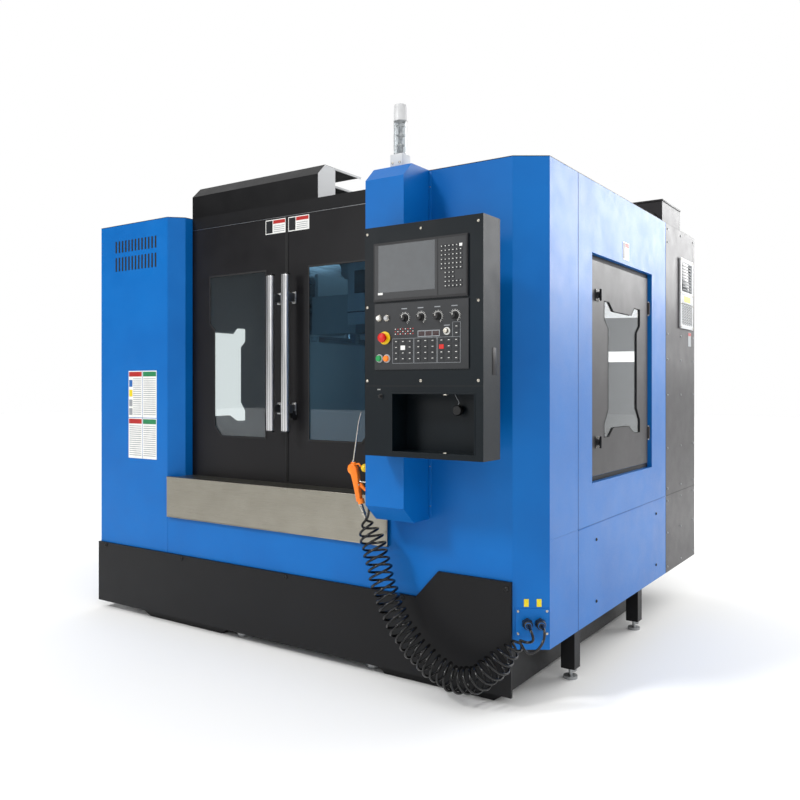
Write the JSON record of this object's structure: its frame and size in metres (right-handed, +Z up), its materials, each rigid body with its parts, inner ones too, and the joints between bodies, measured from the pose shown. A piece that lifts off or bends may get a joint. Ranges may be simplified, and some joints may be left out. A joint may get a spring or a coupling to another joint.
{
  "type": "cnc machining center",
  "caption": "Vertical machining centre in a sheet-metal enclosure with sliding front doors, swivelling operator pendant and an air gun on a coiled hose.",
  "frame": {"origin": "on the floor, under the centre of the bounding box without the air hose", "axes": "+X to the operator's right, +Y from the front doors to the back, +Z up"},
  "size_m": [2.632, 2.498, 2.345],
  "materials": {
    "blue_paint": "satin",
    "black_paint": "fine texture",
    "grey_paint": "satin",
    "casting_paint": "painted",
    "ground_steel": "ground",
    "stainless": "brushed",
    "handle_aluminium": "satin anodised",
    "window": "clear",
    "lamp_plastic": "gloss",
    "panel_plastic": "matt",
    "white_plastic": "gloss",
    "red_plastic": "gloss",
    "green_plastic": "gloss",
    "orange_plastic": "gloss",
    "knob_plastic": "matt",
    "hose_rubber": "gloss",
    "zinc": "satin"
  },
  "bodies": {
    "machine": {"air_gun": "orange_plastic", "arm_cowl": "blue_paint", "bed_casting": "casting_paint", "cabinet_cooler": "grey_paint", "cable_box": "black_paint", "column_casting": "casting_paint", "coolant_tanks": "black_paint", "door_sill": "stainless", "door_tracks": "black_paint", "enclosure_legs": "black_paint", "front_apron": "blue_paint", "front_header": "black_paint", "front_skirt": "black_paint", "gland_plate": "blue_paint", "hook_and_valve": "zinc", "hose_coil": "hose_rubber", "left_front_column": "blue_paint", "left_side_panels": "blue_paint", "levelling_feet": "zinc", "linear_rails": "ground_steel", "magazine_bracket": "casting_paint", "rear_panels": "grey_paint", "right_front_pillar": "blue_paint", "right_side_panels": "blue_paint", "roof_panels": "black_paint", "signal_lamp": "lamp_plastic", "top_hood": "black_paint"},
    "saddle": {"saddle": "casting_paint"},
    "table": {"table": "ground_steel"},
    "spindle_head": {"spindle_head": "casting_paint"},
    "spindle": {"spindle": "ground_steel"},
    "x_ballscrew": {"x_ballscrew": "ground_steel"},
    "y_ballscrew": {"y_ballscrew": "ground_steel"},
    "z_ballscrew": {"z_ballscrew": "ground_steel"},
    "magazine_drum": {"magazine_drum": "ground_steel"},
    "change_arm": {"change_arm": "ground_steel"},
    "left_door": {"left_door": "black_paint", "left_door_window": "window", "left_door_handle": "handle_aluminium"},
    "right_door": {"right_door": "black_paint", "right_door_window": "window", "right_door_handle": "handle_aluminium"},
    "side_door": {"side_door": "grey_paint", "side_door_window": "window"},
    "upper_latch": {"upper_latch": "panel_plastic"},
    "lower_latch": {"lower_latch": "panel_plastic"},
    "pendant": {"pendant_box": "black_paint", "display_unit": "panel_plastic", "key_panel": "panel_plastic"},
    "air_gun_trigger": {"air_gun_trigger": "orange_plastic"},
    "power_on_button": {"power_on_button": "white_plastic"},
    "power_off_button": {"power_off_button": "white_plastic"},
    "start_button": {"start_button": "green_plastic"},
    "hold_button": {"hold_button": "orange_plastic"},
    "emergency_stop": {"emergency_stop": "red_plastic"},
    "mode_knob": {"mode_knob": "knob_plastic"},
    "rapid_knob": {"rapid_knob": "knob_plastic"},
    "feed_knob": {"feed_knob": "knob_plastic"},
    "speed_knob": {"speed_knob": "knob_plastic"},
    "key_switch": {"key_switch": "knob_plastic"}
  },
  "joints": [
    {"name": "y_slide", "type": "slide", "parent": "machine", "child": "saddle", "axis": [0, 1, 0], "range_m": [-0.25, 0.25]},
    {"name": "x_slide", "type": "slide", "parent": "saddle", "child": "table", "axis": [1, 0, 0], "range_m": [-0.4, 0.4]},
    {"name": "z_slide", "type": "slide", "parent": "machine", "child": "spindle_head", "axis": [0, 0, 1], "range_m": [-0.5, 0]},
    {"name": "spindle_turn", "type": "hinge", "parent": "spindle_head", "child": "spindle", "pos_m": [0.099, -0.108, 1.49], "axis": [0, 0, 1], "continuous": true},
    {"name": "x_screw_turn", "type": "hinge", "parent": "saddle", "child": "x_ballscrew", "pos_m": [0.099, -0.108, 0.7075], "axis": [1, 0, 0], "continuous": true},
    {"name": "y_screw_turn", "type": "hinge", "parent": "machine", "child": "y_ballscrew", "pos_m": [0.099, 0, 0.47], "axis": [0, 1, 0], "continuous": true},
    {"name": "z_screw_turn", "type": "hinge", "parent": "machine", "child": "z_ballscrew", "pos_m": [0.099, 0.4745, 1.2], "axis": [0, 0, 1], "continuous": true},
    {"name": "drum_turn", "type": "hinge", "parent": "machine", "child": "magazine_drum", "pos_m": [-0.461, -0.108, 1.765], "axis": [1, 0, 0], "continuous": true},
    {"name": "arm_turn", "type": "hinge", "parent": "machine", "child": "change_arm", "pos_m": [-0.181, -0.108, 1.455], "axis": [0, 0, 1], "range_deg": [0, 180]},
    {"name": "left_door_slide", "type": "slide", "parent": "machine", "child": "left_door", "axis": [-1, 0, 0], "range_m": [0, 0.56]},
    {"name": "right_door_slide", "type": "slide", "parent": "machine", "child": "right_door", "axis": [1, 0, 0], "range_m": [0, 0.56]},
    {"name": "side_door_swing", "type": "hinge", "parent": "machine", "child": "side_door", "pos_m": [1.293, 0.4147, 1.29], "axis": [0, 0, 1], "range_deg": [0, 100]},
    {"name": "upper_latch_turn", "type": "hinge", "parent": "side_door", "child": "upper_latch", "pos_m": [1.293, -0.3, 1.604], "axis": [1, 0, 0], "range_deg": [0, 90]},
    {"name": "lower_latch_turn", "type": "hinge", "parent": "side_door", "child": "lower_latch", "pos_m": [1.293, -0.3, 0.97], "axis": [1, 0, 0], "range_deg": [0, 90]},
    {"name": "pendant_swing", "type": "hinge", "parent": "machine", "child": "pendant", "pos_m": [0.7223, -1.1017, 1.4], "axis": [0, 0, -1], "range_deg": [0, 60]},
    {"name": "power_on_button_press", "type": "slide", "parent": "pendant", "child": "power_on_button", "axis": [0, 1, 0], "range_m": [0, 0.004], "stiffness_N_per_m": 500},
    {"name": "power_off_button_press", "type": "slide", "parent": "pendant", "child": "power_off_button", "axis": [0, 1, 0], "range_m": [0, 0.004], "stiffness_N_per_m": 500},
    {"name": "start_button_press", "type": "slide", "parent": "pendant", "child": "start_button", "axis": [0, 1, 0], "range_m": [0, 0.004], "stiffness_N_per_m": 500},
    {"name": "hold_button_press", "type": "slide", "parent": "pendant", "child": "hold_button", "axis": [0, 1, 0], "range_m": [0, 0.004], "stiffness_N_per_m": 500},
    {"name": "emergency_stop_press", "type": "slide", "parent": "pendant", "child": "emergency_stop", "axis": [0, 1, 0], "range_m": [0, 0.005]},
    {"name": "mode_knob_turn", "type": "hinge", "parent": "pendant", "child": "mode_knob", "pos_m": [0.915, -1.217, 1.458], "axis": [0, -1, 0], "range_deg": [-135, 135]},
    {"name": "rapid_knob_turn", "type": "hinge", "parent": "pendant", "child": "rapid_knob", "pos_m": [0.985, -1.217, 1.458], "axis": [0, -1, 0], "range_deg": [-135, 135]},
    {"name": "feed_knob_turn", "type": "hinge", "parent": "pendant", "child": "feed_knob", "pos_m": [1.056, -1.217, 1.458], "axis": [0, -1, 0], "range_deg": [-135, 135]},
    {"name": "speed_knob_turn", "type": "hinge", "parent": "pendant", "child": "speed_knob", "pos_m": [1.126, -1.217, 1.458], "axis": [0, -1, 0], "range_deg": [-135, 135]},
    {"name": "key_switch_turn", "type": "hinge", "parent": "pendant", "child": "key_switch", "pos_m": [1.093, -1.217, 1.405], "axis": [0, -1, 0], "range_deg": [0, 90]},
    {"name": "trigger_squeeze", "type": "hinge", "parent": "machine", "child": "air_gun_trigger", "pos_m": [0.551, -1.008, 0.808], "axis": [0, 1, 0], "range_deg": [0, 15], "stiffness_Nm_per_rad": 0.3}
  ],
  "couplings": [
    {"joint": "x_screw_turn", "follows": "x_slide", "rad_per_m": 392.7},
    {"joint": "y_screw_turn", "follows": "y_slide", "rad_per_m": 392.7},
    {"joint": "z_screw_turn", "follows": "z_slide", "rad_per_m": 392.7}
  ]
}
